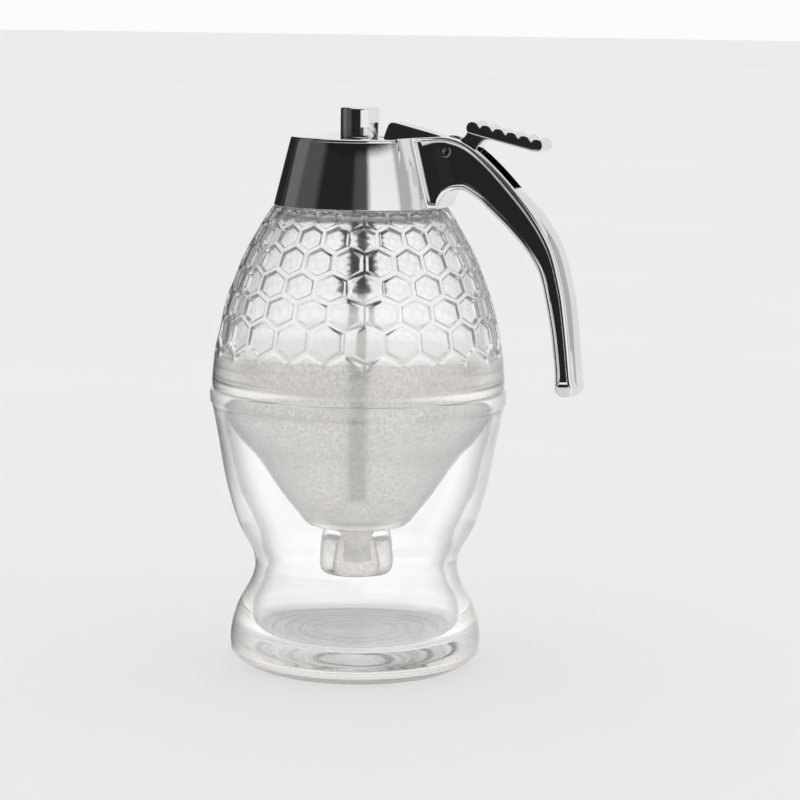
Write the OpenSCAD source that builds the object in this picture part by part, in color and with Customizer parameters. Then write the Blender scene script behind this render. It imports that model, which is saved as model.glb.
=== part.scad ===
// Honey dispenser: a glass jar with a funnel and a spring-loaded stopper, standing in a glass
// cup, under a chromed cap with a handle and a thumb lever. Millimetres, +Z up, +X to the handle.
// The origin is the centre of the flat underside of the foot.

/* [Stand] */
// Height of the rim that the jar rests on
stand_h = 72.3; // [71:0.1:74]
// Radius of the rim bead, the widest place of the whole dispenser
rim_r = 38.45; // [38.2:0.05:39]
// Radius of the mouth that the funnel drops into
stand_mouth_r = 34.6; // [34.5:0.05:34.8]
// Thickness of the glass floor
floor_z = 7.6; // [6:0.1:9]

/* [Jar] */
// Radius of the round arc that draws the jar from its belly to its shoulder
body_arc_r = 84.5; // [84:0.1:85]
// Distance of that arc's centre beyond the axis
body_arc_off = 46.5; // [46.3:0.1:46.8]
// Height of that arc's centre
body_arc_z = 70.6; // [70:0.1:71]
// Wall thickness of the jar's body
jar_wall = 2.8; // [2.4:0.1:3.2]
// Height of the flat shoulder under the cap
shoulder_z = 119.6; // [119.4:0.1:119.7]
// Height of the neck's top edge
neck_top_z = 129; // [128.8:0.1:129.2]
// Outer radius of the neck between its threads
neck_r = 15; // [14.8:0.1:15]
// Radius of the jar's mouth
mouth_r = 12; // [11.5:0.1:12.2]
// Radius of the bore of the spout under the funnel
spout_bore_r = 6; // [5.9:0.1:6.2]

/* [Honeycomb] */
// Number of cells round the jar
cells_round = 24; // [20:1:28]
// Width of the raised ribs between cells
rib_w = 1.15; // [0.8:0.05:1.6]
// Depth of a cell's flat floor below the ribs, at its middle
cell_depth = 0.75; // [0.5:0.05:0.9]
// Turn of the lowest row about the axis, in degrees
cell_turn = 4.8; // [0:0.1:15]

/* [Cap] */
// Outer radius of the cap's lower edge
cap_base_r = 22.4; // [22.2:0.1:22.6]
// Height of the cap's lower edge
cap_base_z = 119.8; // [119.7:0.1:120]
// Outer radius of the cap at its top
cap_top_r = 18.1; // [17.9:0.1:18.3]
// Height of the cap's flat top
cap_top_z = 137.3; // [137.2:0.1:137.5]
// Rise of the neck thread in one turn
thread_pitch = 4; // [3.8:0.1:4.2]

/* [Handle] */
// Half width of the handle's arm
arm_half_w = 4.5; // [4.2:0.1:5]
// Width of the rim along the inside of the recessed side panels
panel_rim = 1; // [0.8:0.1:1.2]
// Width of the rim along the back of the recessed side panels
back_rim = 1.35; // [1.2:0.05:1.5]
// Height of the round crown along the back of the arm
crown_h = 1.9; // [1.4:0.1:2.2]
// Depth of the recessed side panels
panel_depth = 0.8; // [0.5:0.1:1]
// Half width of the lever's slot in handle and cap
slot_half_w = 3.3; // [3.2:0.1:3.4]

/* [Lever] */
// Half width of the lever's web
web_half_w = 3; // [2.8:0.1:3.05]
// Half width of the thumb pad
pad_half_w = 4.5; // [4:0.1:5]
// Number of grip ridges on the thumb pad
ridge_count = 6; // [4:1:6]
// Radius of one grip ridge
ridge_r = 1.65; // [1.5:0.05:1.7]
// Radius of the pivot pin
pin_r = 1.55; // [1.4:0.05:1.6]
// Radial play of the lever on its pin
pin_play = 0.05; // [0.03:0.01:0.08]

/* [Valve] */
// Radius of the rod
rod_r = 2.4; // [2.3:0.05:2.5]
// Radius of the knob on the rod's top
knob_r = 5.45; // [5.3:0.05:5.5]
// Height of the knob's top, the highest point of the dispenser
knob_top_z = 144.8; // [144:0.1:145.5]
// Number of turns of the return spring
spring_turns = 11; // [9:1:12]
// Wire radius of the return spring
wire_r = 0.45; // [0.4:0.05:0.5]

/* [Hidden] */

smooth_steps = 6;        // steps in each span of a smooth curve
round_fn = 96;           // smoothness of turned pieces
small_fn = 48;           // smoothness of pins, screws and holes
far = 200;               // longer than anything that is cut

// One point of a smooth curve between p1 and p2, at t from 0 to 1
function span_point(p0, p1, p2, p3, t) =
    (2 * p1 + (p2 - p0) * t + (2 * p0 - 5 * p1 + 4 * p2 - p3) * t * t
     + (3 * p1 - p0 - 3 * p2 + p3) * t * t * t) / 2;

// Smooth open curve through all the points p
function smooth(p, n = smooth_steps) =
    concat([for (i = [0 : len(p) - 2]) for (k = [0 : n - 1])
                span_point(p[max(i - 1, 0)], p[i], p[i + 1], p[min(i + 2, len(p) - 1)], k / n)],
           [p[len(p) - 1]]);

// The points p in the other order
function backwards(p) = [for (i = [len(p) - 1 : -1 : 0]) p[i]];

// Radius of the jar's body at height z, moved inwards by d square to the surface
function body_r(z, d = 0) = sqrt(pow(body_arc_r - d, 2) - pow(z - body_arc_z, 2)) - body_arc_off;

// Slope angle of the jar's body at height z
function body_slope(z) = asin((z - body_arc_z) / body_arc_r);

// Distance along the jar's body from height a to height b
function body_length(a, b) = body_arc_r * (body_slope(b) - body_slope(a)) * PI / 180;

// Turned solid from an outline of [radius, height] points
module turned(outline, fn = round_fn) {
    rotate_extrude($fn = fn) polygon(outline);
}

// Ring with a square section
module ring(r_out, r_in, z_low, z_high, fn = small_fn) {
    translate([0, 0, z_low])
        difference() {
            cylinder(r = r_out, h = z_high - z_low, $fn = fn);
            translate([0, 0, -1]) cylinder(r = r_in, h = z_high - z_low + 2, $fn = fn);
        }
}

// Side outline of [x, z] points, spread w to each side of the plane y = 0
module side_slab(outline, w) {
    rotate([90, 0, 0]) linear_extrude(height = 2 * w, center = true) polygon(outline);
}

// Round bar along Y through [x, z]
module cross_bar(at, r, w, fn = small_fn) {
    translate([at[0], -w, at[1]]) rotate([-90, 0, 0]) cylinder(r = r, h = 2 * w, $fn = fn);
}

// Closed skin over rings that all have the same number of points
module ringed_skin(rings) {
    n = len(rings[0]);
    last = (len(rings) - 1) * n;
    polyhedron(
        points = [for (one = rings) for (p = one) p],
        faces = concat(
            [for (j = [1 : n - 2]) [0, j, j + 1]],
            [for (j = [1 : n - 2]) [last, last + j + 1, last + j]],
            [for (i = [0 : len(rings) - 2]) for (j = [0 : n - 1])
                [i * n + j, (i + 1) * n + j, (i + 1) * n + (j + 1) % n]],
            [for (i = [0 : len(rings) - 2]) for (j = [0 : n - 1])
                [i * n + j, (i + 1) * n + (j + 1) % n, i * n + (j + 1) % n]]),
        convexity = 10);
}

// ---------------------------------------------------------------- stand

foot_r = 27;                            // edge of the flat underside
groove_radii = [10.5, 14.5, 18.5, 22.5]; // rings pressed into the underside
groove_r = 1.1;
groove_sink = 0.5;

// Outside of the cup from its underside over the foot and waist up to the rim bead
stand_outer = smooth([[foot_r, 0], [31.6, 2.7], [32.7, 7.5], [31.0, 15], [26.9, 23.2], [26.9, 29.4],
                      [31.0, 37.5], [34.2, 48.5], [36.3, 60], [37.7, 67.2], [rim_r, 69.2]]);
rim_edge = [[rim_r, stand_h - 0.7], [rim_r - 0.2, stand_h - 0.2], [rim_r - 0.7, stand_h]];
// Inside of the cup from its rim down to the floor
stand_inner = smooth([[stand_mouth_r, 66], [33.6, 59], [31.4, 48.5], [28.2, 39.5], [23.6, 29.6],
                      [23.6, 23.6], [27.2, 15.6], [27.6, 10.6], [25.4, floor_z + 0.4], [21, floor_z]]);

module stand() {
    color([0.88, 0.92, 0.93, 0.45])
        difference() {
            turned(concat([[0, 0]], stand_outer, rim_edge, [[stand_mouth_r + 0.6, stand_h],
                   [stand_mouth_r, stand_h - 0.6]], stand_inner, [[0, floor_z]]));
            for (r = groove_radii)
                rotate_extrude($fn = round_fn)
                    translate([r, -groove_sink]) circle(r = groove_r, $fn = small_fn);
        }
}

// ---------------------------------------------------------------- jar

spigot_r = stand_mouth_r - 0.4;         // shoulder that centres the jar in the stand
seat_z = 34.6;                          // lower edge of the conical valve seat
seat_h = 3.4;
seat_r = spout_bore_r + seat_h;         // upper edge of the seat, a 45 degree cone
body_steps = 14;
belly_z = 74;

body_outer = [for (i = [0 : body_steps]) let (z = belly_z + (shoulder_z - 0.9 - belly_z) * i / body_steps)
              [body_r(z), z]];
shoulder_edge = [[body_r(shoulder_z) - 0.1, shoulder_z - 0.3], [body_r(shoulder_z) - 0.6, shoulder_z]];
neck_edge = [[neck_r, shoulder_z], [neck_r, neck_top_z - 0.5], [neck_r - 0.5, neck_top_z],
             [mouth_r + 0.5, neck_top_z], [mouth_r, neck_top_z - 0.5]];
inner_top_z = 116.5;
inner_low_z = 78;
shoulder_inner = smooth([[mouth_r, 121.8], [13.6, 119.4], [17.2, 118.2],
                         [body_r(inner_top_z, jar_wall), inner_top_z]], 4);
body_inner = [for (i = [1 : body_steps])
              let (z = inner_top_z + (inner_low_z - inner_top_z) * i / body_steps)
              [body_r(z, jar_wall), z]];
funnel_inner = smooth([[body_r(inner_low_z, jar_wall), inner_low_z], [34.1, 75.2], [32.1, 71.6], [31.2, 67],
                       [28.3, 61.9], [24.3, 57], [19.9, 50], [16.4, 44.6], [12.6, 39.6],
                       [seat_r, seat_z + seat_h]], 4);
spout_end = [[spout_bore_r, seat_z], [spout_bore_r, 25.4], [6.6, 24.7], [8, 24.7]];
spout_outer = smooth([[8, 24.7], [9, 25.4], [9.4, 28], [9.3, 31.5], [8.7, 35.2], [9.4, 36.3]], 4);
funnel_outer = smooth([[13.6, 36.6], [14.7, 37.6], [18.8, 43.4], [22.4, 48.9], [26.8, 55.6], [30.8, 60.6],
                       [33.6, 65.6], [spigot_r, 69.6]], 4);
ledge = [[spigot_r, stand_h], [37.4, stand_h], [body_r(stand_h) - 0.05, stand_h + 0.6]];

jar_outline = concat(body_outer, shoulder_edge, neck_edge, shoulder_inner, body_inner, funnel_inner,
                     spout_end, spout_outer, funnel_outer, ledge);

// Heights of the middles of the honeycomb rows
row_z = [88.1, 95.3, 101.1, 107.3, 113.2, 117.7];
rows = len(row_z);
function gap_above(i) = i < rows - 1 ? body_length(row_z[i], row_z[i + 1]) : gap_below(i);
function gap_below(i) = i > 0 ? body_length(row_z[i - 1], row_z[i]) : gap_above(i);

// One cell of row i, flat, as wide and high as its neighbours leave it inside the ribs
function cell_outline(i) =
    let (w = PI * body_r(row_z[i]) / cells_round - rib_w / 2,
         up = gap_above(i) / 3,
         down = gap_below(i) / 3,
         corner = rib_w / sqrt(3),
         side = corner / 2)
    [[0, 2 * up - corner], [-w, up - side], [-w, side - down], [0, corner - 2 * down],
     [w, side - down], [w, up - side]];

module honeycomb_cuts() {
    for (i = [0 : rows - 1])
        for (k = [0 : cells_round - 1])
            rotate([0, 0, cell_turn + (k + (i % 2) / 2) * 360 / cells_round])
                translate([body_r(row_z[i]), 0, row_z[i]])
                    rotate([0, -body_slope(row_z[i]), 0])
                        rotate([90, 0, 90])
                            translate([0, 0, -cell_depth])
                                linear_extrude(height = 4) polygon(cell_outline(i));
}

// Thread ridge on the neck: helix of a trapezoid from height z and angle 0, through t turns,
// from radius base_r out to crest_r, with tapered ends
thread_steps = 24;
thread_base_w = 2.2;
thread_crest_w = 1;
thread_sink = 0.4;
module thread_ridge(base_r, crest_r, z, t) {
    count = ceil(t * thread_steps);
    ringed_skin([for (i = [0 : count])
        let (phi = 360 * t * i / count,
             mid = z + thread_pitch * t * i / count,
             tip = base_r + (crest_r - base_r) * min(1, (1 + min(i, count - i)) / 4))
        [for (p = [[base_r - thread_sink, thread_base_w / 2], [tip, thread_crest_w / 2],
                   [tip, -thread_crest_w / 2], [base_r - thread_sink, -thread_base_w / 2]])
            [p[0] * cos(phi), p[0] * sin(phi), mid + p[1]]]]);
}

glass_thread_z = 121.9;                 // middle of the glass ridge at its lower end
glass_thread_turns = 1.25;
neck_crest_r = neck_r + 1.2;

module jar() {
    color([0.9, 0.94, 0.95, 0.45]) {
        difference() {
            turned(jar_outline);
            honeycomb_cuts();
        }
        thread_ridge(neck_r, neck_crest_r, glass_thread_z, glass_thread_turns);
    }
}

// ---------------------------------------------------------------- cap and what is inside it

gasket_t = 1;
liner_floor_z = neck_top_z + gasket_t;  // underside of the liner's disc
liner_top_z = liner_floor_z + 1.6;
liner_r = 17.5;
liner_bore_r = neck_crest_r + 0.3;
roof_z = 134.9;                         // underside of the cap's roof
roof_hole_r = knob_r + 0.2;
cap_slope = (cap_base_r - cap_top_r) / (cap_top_z - cap_base_z);
cap_tilt = atan(cap_slope);             // half angle of the cap's cone

module neck_gasket() {
    color("whitesmoke") ring(neck_r + 0.4, mouth_r + 0.6, neck_top_z, liner_floor_z, round_fn);
}

// Solid cone of the cap's outside, grown by d
module cap_cone(d = 0) {
    turned([[0, cap_base_z], [cap_base_r + d, cap_base_z], [cap_top_r + 0.25 + d, cap_top_z - 0.9],
            [cap_top_r - 0.1 + d, cap_top_z - 0.25], [cap_top_r - 0.6 + d, cap_top_z], [0, cap_top_z]]);
}

screw_y = 3.4;
screw_z = 127.4;
screw_head_r = 2.3;
screw_shank_r = 1.25;
screw_head_x = [17.55, 18.9];
screw_tip_x = 27.4;

module x_bore(y, z, r, x_from, x_to) {
    translate([x_from, y, z]) rotate([0, 90, 0]) cylinder(r = r, h = x_to - x_from, $fn = small_fn);
}

module cap_shell() {
    color([0.78, 0.79, 0.8])
        difference() {
            cap_cone();
            turned([[0, cap_base_z - 1], [20.4, cap_base_z - 1], [20.4, 120.6], [19.6, 124.2],
                    [liner_r, 124.2], [liner_r, liner_top_z], [16, liner_top_z], [16, roof_z - 0.8],
                    [15.2, roof_z], [0, roof_z]]);
            translate([0, 0, roof_z - 1]) cylinder(r = roof_hole_r, h = 5, $fn = round_fn);
            translate([0, -slot_half_w, liner_top_z + 0.1]) cube([cap_top_r + 4, 2 * slot_half_w, 10]);
            for (y = [-screw_y, screw_y]) {
                x_bore(y, screw_z, screw_head_r + 0.1, 15, screw_head_x[1]);
                x_bore(y, screw_z, screw_shank_r + 0.1, 18, 24);
            }
        }
}

bush_r = 4.6;
bush_flange_r = 6.4;
bush_flange_z = liner_floor_z - 1.3;
seal_ring_r = 0.7;                      // section radius of the rod's sealing ring
rod_play = 0.05;
seal_mid_r = rod_r + rod_play + seal_ring_r;
seal_z = bush_flange_z + seal_ring_r + 0.05;

lug_count = 6;                          // pieces of the liner's interrupted thread
lug_step = 50;
lug_angle = 24;
lug_depth = 1.2;

module thread_liner() {
    color("white") {
        difference() {
            translate([0, 0, 120.3]) cylinder(r = liner_r, h = liner_top_z - 120.3, $fn = round_fn);
            translate([0, 0, 119]) cylinder(r = liner_bore_r, h = liner_floor_z - 119, $fn = round_fn);
            translate([0, 0, 119]) cylinder(r = bush_r, h = 20, $fn = small_fn);
        }
        // The lugs follow a helix half a pitch below the ridge on the glass
        for (k = [0 : lug_count - 1])
            let (a = 190 + k * lug_step)
                translate([0, 0, glass_thread_z + thread_pitch * (a + lug_angle / 2 - 180) / 360])
                    rotate([0, 0, a])
                        rotate_extrude(angle = lug_angle, $fn = round_fn)
                            polygon([[liner_bore_r + 0.4, -thread_base_w / 2],
                                     [liner_bore_r + 0.4, thread_base_w / 2],
                                     [liner_bore_r, thread_base_w / 2],
                                     [liner_bore_r - lug_depth, thread_crest_w / 2],
                                     [liner_bore_r - lug_depth, -thread_crest_w / 2],
                                     [liner_bore_r, -thread_base_w / 2]]);
    }
}

module rod_bush() {
    color("ivory")
        difference() {
            union() {
                ring(bush_flange_r, rod_r + rod_play, bush_flange_z, liner_floor_z);
                ring(bush_r, rod_r + rod_play, liner_floor_z - 0.2, liner_top_z);
            }
            translate([0, 0, bush_flange_z - 1])
                cylinder(r = seal_mid_r + seal_ring_r, h = 2 * seal_ring_r + 1.1, $fn = small_fn);
        }
}

module rod_seal() {
    color("dimgray")
        rotate_extrude($fn = small_fn)
            translate([seal_mid_r, seal_z]) circle(r = seal_ring_r, $fn = 24);
}

// ---------------------------------------------------------------- handle

// Top of the handle from inside the cap over the bend and down the back edges of the arm
spine = smooth([[12, 137.4], [19.5, 137.9], [24.6, 138.0], [29.6, 136.4], [35.2, 132.2], [41.5, 125.9],
                [48, 118], [52.5, 110], [55.2, 100.6], [56.3, 94], [57.3, 86], [58.2, 78]]);
end_curve = smooth([[58.2, 78], [58.7, 76], [58.4, 74.4], [57.4, 73.3], [56, 73], [54.5, 73.6],
                    [53.6, 75.2]], 4);
// Inside of the arm from its end up to the finger arch and down to the cap's lower edge
arm_inner = smooth([[53.6, 75.2], [53.4, 80.4], [52.1, 90.4], [50.1, 100], [48.5, 105.2], [45.1, 110.3],
                    [40.6, 115.2], [35.6, 119.9], [32.4, 122.8], [28.4, 124.9], [24.6, 123.7],
                    [22.9, 119.9]]);
// Crown along the back of the arm: [x, z, height of the crown above the edges]
crown_line = smooth([[41.5, 125.9, 0.05], [44.9, 122, 0.5 * crown_h], [48, 118, 0.8 * crown_h],
                     [52.5, 110, crown_h], [55.2, 100.6, crown_h], [56.3, 94, crown_h],
                     [57.3, 86, 0.9 * crown_h], [58.2, 78, 0.9 * crown_h], [58.7, 76, 0.8 * crown_h],
                     [58.4, 74.4, 0.4 * crown_h], [57.9, 73.8, 0.1]], 3);
crown_points = 10;                      // points across the crown
crown_sink = 0.15;                      // depth of the crown's edges in the arm

module crown() {
    w = arm_half_w - 0.02;
    ringed_skin([for (i = [0 : len(crown_line) - 1])
        let (p = crown_line[i],
             a = crown_line[max(i - 1, 0)],
             b = crown_line[min(i + 1, len(crown_line) - 1)],
             t = [b[0] - a[0], b[1] - a[1]] / norm([b[0] - a[0], b[1] - a[1]]),
             over = concat([[-0.6, w]],
                           [for (k = [0 : crown_points])
                               let (q = 1 - 2 * k / crown_points)
                               [(p[2] + crown_sink) * (1 - q * q) - crown_sink, q * w]],
                           [[-0.6, -w]]))
        [for (q = over) [p[0] - q[0] * t[1], q[1], p[1] + q[0] * t[0]]]]);
}
handle_side = concat(spine, end_curve, arm_inner, [[12, 119.9]]);

// Half widths of the handle in the frame that leans with the cap: [distance from the cap, half width]
flank = smooth([[-6.5, 15.6], [-3.6, 11.6], [-2.3, 9.4], [-1.2, 8.3], [2, 7.2], [6, 6.2],
                [11, arm_half_w + 0.8], [17, arm_half_w + 0.1], [26, arm_half_w], [60, arm_half_w]], 4);

// Upright prism between the flanks, made narrower by d and leaning with the cap
module flank_prism(d = 0) {
    half = [for (p = flank) [p[0], p[1] - d]];
    translate([cap_base_r, 0, cap_base_z])
        rotate([0, -cap_tilt, 0])
            translate([0, 0, -90])
                linear_extrude(height = 150)
                    polygon(concat(half, [for (p = backwards(half)) [p[0], -p[1]]]));
}

// The i-th point of the curve p moved square to it by d, to the right of its direction
function moved(p, i, d) =
    let (a = p[max(i - 1, 0)], b = p[min(i + 1, len(p) - 1)], t = (b - a) / norm(b - a))
    [p[i][0] + d * t[1], p[i][1] - d * t[0]];

// Width of the rim above the panel, thin over the cap and wider down the arm
function top_rim(x) = 0.55 + (back_rim - 0.55) * max(0, min(1, (x - 24) / 14));

// Recessed panel: the part of the side outline inside the rim, away from the cap
panel_spine = [for (i = [0 : len(spine) - 1])
               let (p = moved(spine, i, top_rim(spine[i][0])))
               if (p[0] > 20 && p[1] > 78.4) p];
panel_inner = [for (i = [0 : len(arm_inner) - 1])
               let (p = moved(arm_inner, i, panel_rim))
               if (p[1] > 77.4 && (p[0] > 24.4 || p[1] > 125)) p];
panel_side = concat([[16.9, 137.1]], panel_spine, [[56.9, 77.4], [56.2, 76.4], [55.2, 76.3], [54.7, 76.8]],
                    panel_inner, [[22.4, 121.6], [20.9, 121.6]]);

pivot = [24.1, 134.4];                  // x and z of the lever's pivot
saddle_angle = 43;                      // half angle of the saddle round the cap
saddle_t = 0.9;

// Wedge between the two ends of the saddle, from height a to height b
module saddle_wedge(a, b) {
    translate([0, 0, a])
        linear_extrude(height = b - a)
            polygon([[0, 0], [far * cos(saddle_angle), -far * sin(saddle_angle)],
                     [far * cos(saddle_angle), far * sin(saddle_angle)]]);
}

// Thin flange that wraps the cap on both sides of the handle's root
module saddle() {
    intersection() {
        translate([0, 0, 0.1]) cap_cone(saddle_t);
        saddle_wedge(119.9, cap_top_z - 0.7);
    }
}

// Side outline of the slot that the lever works in
slot_side = [[0, 130], [20, 130], [27, 129.6], [34, 127.6], [40, 124.6], [42.1, 125.2], [45, 150],
             [0, 150]];

module handle() {
    color([0.72, 0.73, 0.75])
        difference() {
            union() {
                intersection() {
                    side_slab(handle_side, 16);
                    flank_prism();
                    saddle_wedge(0, far);
                }
                saddle();
                crown();
            }
            translate([0, 0, -far + cap_base_z]) cylinder(r = cap_base_r, h = far, $fn = round_fn);
            cap_cone();
            translate([0, 0, cap_top_z - 0.1]) cylinder(r = cap_top_r - 0.6, h = 10, $fn = round_fn);
            side_slab(slot_side, slot_half_w);
            difference() {
                side_slab(panel_side, 20);
                flank_prism(panel_depth);
            }
            cross_bar(pivot, pin_r, 20);
            for (y = [-screw_y, screw_y])
                x_bore(y, screw_z, screw_shank_r, 15, screw_tip_x + 0.4);
        }
}

module handle_screws() {
    color("silver")
        for (y = [-screw_y, screw_y])
            difference() {
                union() {
                    x_bore(y, screw_z, screw_head_r, screw_head_x[0], screw_head_x[1]);
                    x_bore(y, screw_z, screw_shank_r, screw_head_x[1] - 0.1, screw_tip_x);
                }
                translate([screw_head_x[0], y, screw_z]) cube([1.2, 0.6, 3.2], center = true);
                translate([screw_head_x[0], y, screw_z]) cube([1.2, 3.2, 0.6], center = true);
            }
}

// ---------------------------------------------------------------- lever

toe = [0.9, 139.7];                     // middle of the round toe that lifts the knob
toe_r = 1.1;
hub_r = 3.3;
first_ridge = [30.9, 140.45];
last_ridge = [47.7, 136.5];
function ridge_at(k) = first_ridge + (last_ridge - first_ridge) * k / (ridge_count - 1);

// Hump that shows above the cap, with the thin tongue that reaches into the knob
hump = [[8.9, 140.9], [9.4, 141.1], [10.2, 140.95], [21.6, 138.1], [25.4, 137.2], [24.8, 131.3],
        [21.4, 131.9], [16, 132.8], [9, 133.8], [2.95, 134.8], [2.95, 136.2], [0.7, 137.5],
        [toe[0] - toe_r, toe[1]],
        [toe[0] + toe_r, toe[1]], [2.9, 137.4], [3.9, 137], [7.6, 137], [7.9, 138.4]];
// Neck that rises from the pivot to the thumb pad, with a round fillet under the pad
neck_front = smooth([[20.8, 136.4], [24.6, 137.3], [27.4, 137.5], [29.3, 139.6]], 4);
neck_back = smooth([[38.2, 137.4], [34.7, 137.6], [32.5, 136.5], [31.1, 134.3], [27.6, 131.9],
                    [23.5, 131.2]], 4);
pad_side = concat([[29.2, 139.4], [29.4, 140.45]], [ridge_at(0), ridge_at(ridge_count - 1)],
                  [[49.3, 136.1], [49.2, 135], [48.6, 134.9], [36.2, 137.7]]);

module lever() {
    color([0.7, 0.71, 0.73])
        difference() {
            union() {
                side_slab(hump, web_half_w);
                cross_bar(toe, toe_r, web_half_w - 0.1);
                cross_bar(pivot, hub_r, web_half_w);
                side_slab(concat(neck_front, neck_back), web_half_w);
                side_slab(pad_side, pad_half_w);
                for (k = [0 : ridge_count - 1])
                    cross_bar(ridge_at(k), ridge_r, pad_half_w);
            }
            cross_bar(pivot, pin_r + pin_play, 20);
        }
}

pin_half_l = 5.9;
module lever_pin() {
    color("silver")
        difference() {
            cross_bar(pivot, pin_r, pin_half_l);
            for (side = [-1, 1])
                translate([pivot[0], side * (pin_half_l + 0.1), pivot[1]]) sphere(r = 0.7, $fn = 24);
        }
}

// ---------------------------------------------------------------- rod, knob, spring, stopper

knob_low_z = 132;
rod_thread_r = 2;
rod_end_r = 1.9;
rod_top_z = 135.6;
rod_step_z = 42;
rod_end_z = 28.6;
seat_ring_z = [97.2, 98];               // spring seat
clip_t = 0.7;
clip_z = seat_ring_z[0] - clip_t;
clip_groove_r = 1.75;

module rod() {
    color("silver")
        turned([[0, rod_end_z], [rod_end_r - 0.5, rod_end_z], [rod_end_r, rod_end_z + 0.5],
                [rod_end_r, rod_step_z], [rod_r, rod_step_z], [rod_r, clip_z], [clip_groove_r, clip_z],
                [clip_groove_r, clip_z + clip_t], [rod_r, clip_z + clip_t], [rod_r, knob_low_z],
                [rod_thread_r, knob_low_z], [rod_thread_r, rod_top_z - 0.4],
                [rod_thread_r - 0.4, rod_top_z], [0, rod_top_z]], small_fn);
}

knob_flat_x = 3.3;                      // flat side of the knob that faces the handle
window_top_z = 140.9;
window_half_w = 3.25;

module rod_knob() {
    color([0.8, 0.81, 0.82])
        difference() {
            turned([[0, knob_low_z], [knob_r - 0.4, knob_low_z], [knob_r, knob_low_z + 0.4],
                    [knob_r, knob_top_z - 0.5], [knob_r - 0.15, knob_top_z - 0.15],
                    [knob_r - 0.5, knob_top_z], [0, knob_top_z]]);
            translate([knob_flat_x, -10, knob_low_z - 1]) cube([10, 20, 30]);
            translate([2.6, -window_half_w, 133.4]) cube([10, 2 * window_half_w, window_top_z - 133.4]);
            translate([-0.7, -window_half_w, 136]) cube([10, 2 * window_half_w, window_top_z - 136]);
            translate([0, 0, knob_low_z - 1]) cylinder(r = rod_thread_r, h = 5, $fn = small_fn);
        }
}

spring_washer_z = bush_flange_z - 0.7;
spring_mid_r = 3.65;
spring_low = seat_ring_z[1] + wire_r;
spring_high = spring_washer_z - wire_r;
rings_per_turn = 8;
wire_sides = 6;

last_ring = spring_turns * rings_per_turn;
function spring_at(i) =
    let (phi = 360 * i / rings_per_turn)
    [spring_mid_r * cos(phi), spring_mid_r * sin(phi),
     spring_low + (spring_high - spring_low) * i / last_ring];

// Least gap from one turn of the spring to the next, measured on the wire's own points
spring_gap = min([for (i = [0 : (spring_turns - 1) * rings_per_turn])
                  for (j = [i + rings_per_turn - 1 : min(i + rings_per_turn + 1, last_ring)])
                  norm(spring_at(j) - spring_at(i))]) - 2 * wire_r;
echo(spring_gap = spring_gap);

module spring() {
    color("darkgray")
        ringed_skin([for (i = [0 : last_ring])
            let (p = spring_at(i), phi = 360 * i / rings_per_turn)
            [for (j = [0 : wire_sides - 1])
                let (a = -360 * j / wire_sides, out = wire_r * cos(a))
                [p[0] + out * cos(phi), p[1] + out * sin(phi), p[2] + wire_r * sin(a)]]]);
}

module spring_washer() {
    color("silver") ring(6.2, rod_r + 0.15, spring_washer_z, bush_flange_z);
}

module spring_seat() {
    color("silver") ring(4.9, rod_r, seat_ring_z[0], seat_ring_z[1]);
}

module retaining_clip() {
    color("darkgray")
        difference() {
            ring(4.3, clip_groove_r, clip_z, clip_z + clip_t);
            translate([0, -1.3, clip_z - 1]) cube([6, 2.6, 3]);
        }
}

seal_play = 0.12;                       // gap between the closed stopper and its glass seat
stopper_low_z = 31.5;

module stopper() {
    color([0.95, 0.95, 0.93])
        difference() {
            turned(concat(smooth([[2.9, 43.4], [3.7, 42.6], [4.6, 40.6], [7.4, 39.4],
                                  [seat_r - 0.7, 38.6], [seat_r - 0.45, 37.9]], 4),
                          [[spout_bore_r - seal_play * sqrt(2), seat_z + 0.25],
                           [spout_bore_r - 0.8, seat_z - 0.4], [spout_bore_r - 0.8, stopper_low_z + 0.5],
                           [spout_bore_r - 1.3, stopper_low_z], [0, stopper_low_z], [0, 43.4]]));
            cylinder(r = rod_end_r, h = rod_step_z, $fn = small_fn);
            translate([0, 0, rod_step_z - 0.1]) cylinder(r = rod_r, h = 5, $fn = small_fn);
        }
}

module stopper_nut() {
    color("silver")
        difference() {
            translate([0, 0, 29.1]) cylinder(r = 4, h = stopper_low_z - 29.1, $fn = 6);
            translate([0, 0, 28]) cylinder(r = rod_end_r, h = 5, $fn = small_fn);
        }
}

stand();
jar();
neck_gasket();
cap_shell();
thread_liner();
handle();
handle_screws();
lever();
lever_pin();
rod();
rod_knob();
rod_bush();
rod_seal();
spring();
spring_washer();
spring_seat();
retaining_clip();
stopper();
stopper_nut();
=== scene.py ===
import math
from bisect import bisect_right

import bpy
from mathutils import Matrix, Vector


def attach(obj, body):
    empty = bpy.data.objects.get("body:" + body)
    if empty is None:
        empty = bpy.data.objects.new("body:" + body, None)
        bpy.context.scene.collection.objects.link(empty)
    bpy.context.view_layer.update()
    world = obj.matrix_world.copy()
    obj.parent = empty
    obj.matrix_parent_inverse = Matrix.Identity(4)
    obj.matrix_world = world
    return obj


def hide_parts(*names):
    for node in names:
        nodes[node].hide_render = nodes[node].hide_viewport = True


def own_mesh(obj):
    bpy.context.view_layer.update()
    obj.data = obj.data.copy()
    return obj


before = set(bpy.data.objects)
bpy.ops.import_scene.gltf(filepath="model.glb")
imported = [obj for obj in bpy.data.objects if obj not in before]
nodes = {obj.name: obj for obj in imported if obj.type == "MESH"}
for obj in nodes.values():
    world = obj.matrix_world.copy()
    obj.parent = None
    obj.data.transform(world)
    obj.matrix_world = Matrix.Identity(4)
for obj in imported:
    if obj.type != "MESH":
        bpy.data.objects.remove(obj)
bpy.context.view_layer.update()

MM = 0.001


# ---------------------------------------------------------------- modelling helpers


def deselect_all():
    bpy.ops.object.select_all(action="DESELECT")


def pick(piece):
    """Selects this piece alone."""
    deselect_all()
    piece.select_set(True)
    bpy.context.view_layer.objects.active = piece


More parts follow.
